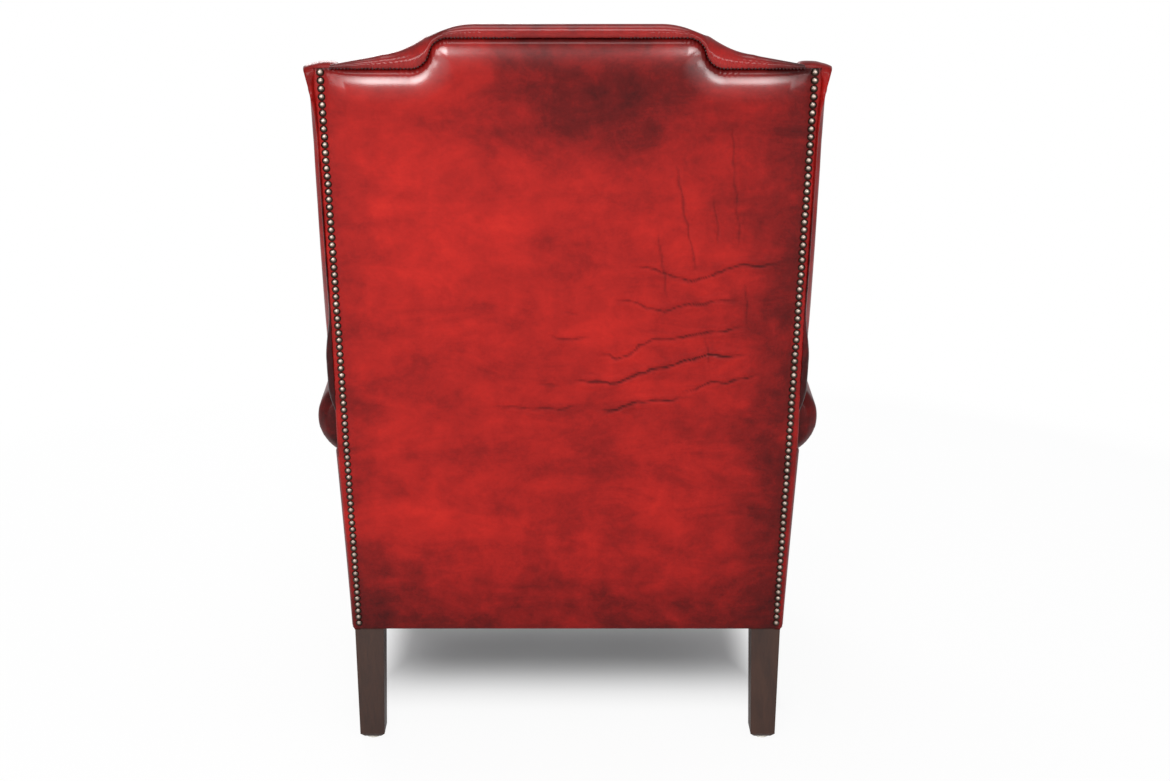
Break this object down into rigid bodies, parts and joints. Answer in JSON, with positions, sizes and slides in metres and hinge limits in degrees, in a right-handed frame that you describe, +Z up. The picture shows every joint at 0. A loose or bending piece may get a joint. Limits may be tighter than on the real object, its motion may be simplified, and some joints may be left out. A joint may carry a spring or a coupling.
{
  "type": "wingback chair",
  "caption": "High-backed wing armchair in studded hide with scroll arms, a stepped rolled crest, a loose seat cushion and square tapered timber legs.",
  "frame": {"origin": "centre of the chair's bounding box on the floor", "axes": "+Z up, -Y the way the sitter faces, +X to the sitter's left"},
  "size_m": [0.778, 0.8041, 1.1188],
  "materials": {
    "leather": "hand-dyed, waxed, semi-gloss",
    "legs": "dark satin lacquer",
    "frame_timber": "sawn and planed hardwood",
    "nails": "antique bronzed brass",
    "screws": "zinc plated",
    "glides": "matt",
    "webbing": "woven jute",
    "hessian": "coarse weave",
    "dust_cloth": "black woven",
    "wadding": "matt fibre"
  },
  "bodies": {
    "chair_frame": {"arm_facing_left": "leather", "arm_facing_right": "leather", "arm_padding_left": "wadding", "arm_padding_right": "wadding", "arm_rail_left": "frame_timber", "arm_rail_right": "frame_timber", "arm_stump_left": "frame_timber", "arm_stump_right": "frame_timber", "back_hessian": "hessian", "back_nails_left": "nails", "back_nails_right": "nails", "back_padding": "wadding", "back_seat_rail": "frame_timber", "back_webbing": "webbing", "corner_block_screws": "screws", "corner_blocks": "frame_timber", "crest_dowels": "frame_timber", "crest_rail": "frame_timber", "dust_cover": "dust_cloth", "front_border_cover": "leather", "front_border_padding": "wadding", "front_leg_left": "legs", "front_leg_right": "legs", "front_seat_rail": "frame_timber", "glides": "glides", "inside_arm_cover_left": "leather", "inside_arm_cover_right": "leather", "inside_back_cover": "leather", "inside_wing_cover_left": "leather", "inside_wing_cover_right": "leather", "lower_back_rail": "frame_timber", "outside_arm_cover_left": "leather", "outside_arm_cover_right": "leather", "outside_back_cover": "leather", "outside_wing_cover_left": "leather", "outside_wing_cover_right": "leather", "rear_leg_left": "legs", "rear_leg_right": "legs", "seat_deck_cover": "leather", "seat_deck_padding": "wadding", "seat_hessian": "hessian", "seat_webbing_across": "webbing", "seat_webbing_along": "webbing", "side_seat_rail_left": "frame_timber", "side_seat_rail_right": "frame_timber", "wing_board_left": "frame_timber", "wing_board_right": "frame_timber", "wing_padding_left": "wadding", "wing_padding_right": "wadding"},
    "cushion": {"cushion_cover": "leather", "cushion_filling": "wadding"}
  },
  "joints": [
    {"name": "cushion_lift", "type": "slide", "parent": "chair_frame", "child": "cushion", "axis": [0, 0, 1], "range_m": [0, 0.35]}
  ]
}
